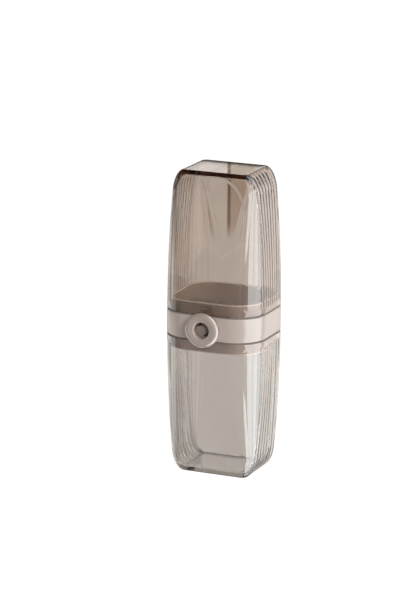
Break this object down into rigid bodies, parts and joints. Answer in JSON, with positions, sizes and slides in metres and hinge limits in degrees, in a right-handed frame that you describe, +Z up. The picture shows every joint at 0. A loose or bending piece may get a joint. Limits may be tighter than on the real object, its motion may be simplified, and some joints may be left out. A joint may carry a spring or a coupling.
{
  "type": "toothbrush travel case",
  "caption": "Upright travel case with a clear cup, a tinted clear lid that lifts off, a middle band and a round push button.",
  "frame": {"origin": "centre of the flat base that the case stands on", "axes": "+Z up along the case, -Y towards the face with the button, X across it"},
  "size_m": [0.0706, 0.0714, 0.21],
  "materials": {
    "clear_shell": "clear, high gloss",
    "tinted_shell": "clear with a warm brown tint, high gloss",
    "beige_plastic": "satin",
    "button_floor": "satin",
    "taupe_plastic": "satin",
    "dark_rubber": "matte",
    "white_plastic": "satin",
    "spring_steel": "bright drawn wire",
    "screw_steel": "bright zinc"
  },
  "bodies": {
    "cup": {"lower_cup": "clear_shell"},
    "ring": {"middle_band": "beige_plastic", "inner_collar": "taupe_plastic", "cup_seal_ring": "dark_rubber", "lid_seal_ring": "dark_rubber", "mechanism_cover": "taupe_plastic", "cover_screw_1": "screw_steel", "cover_screw_2": "screw_steel", "cover_screw_3": "screw_steel", "cover_screw_4": "screw_steel", "return_spring": "spring_steel"},
    "lid": {"upper_lid": "tinted_shell"},
    "button": {"button_ring": "beige_plastic", "button_core": "button_floor", "latch_slider": "white_plastic", "slider_screw": "screw_steel"}
  },
  "joints": [
    {"name": "ring_pull", "type": "slide", "parent": "cup", "child": "ring", "axis": [0, 0, 1], "range_m": [0, 0.04]},
    {"name": "lid_pull", "type": "slide", "parent": "ring", "child": "lid", "axis": [0, 0, 1], "range_m": [0, 0.06]},
    {"name": "button_press", "type": "slide", "parent": "ring", "child": "button", "axis": [0, 1, 0], "range_m": [0, 0.002], "stiffness_N_per_m": 500, "springref_m": -0.002, "deforming": ["return_spring"]}
  ]
}
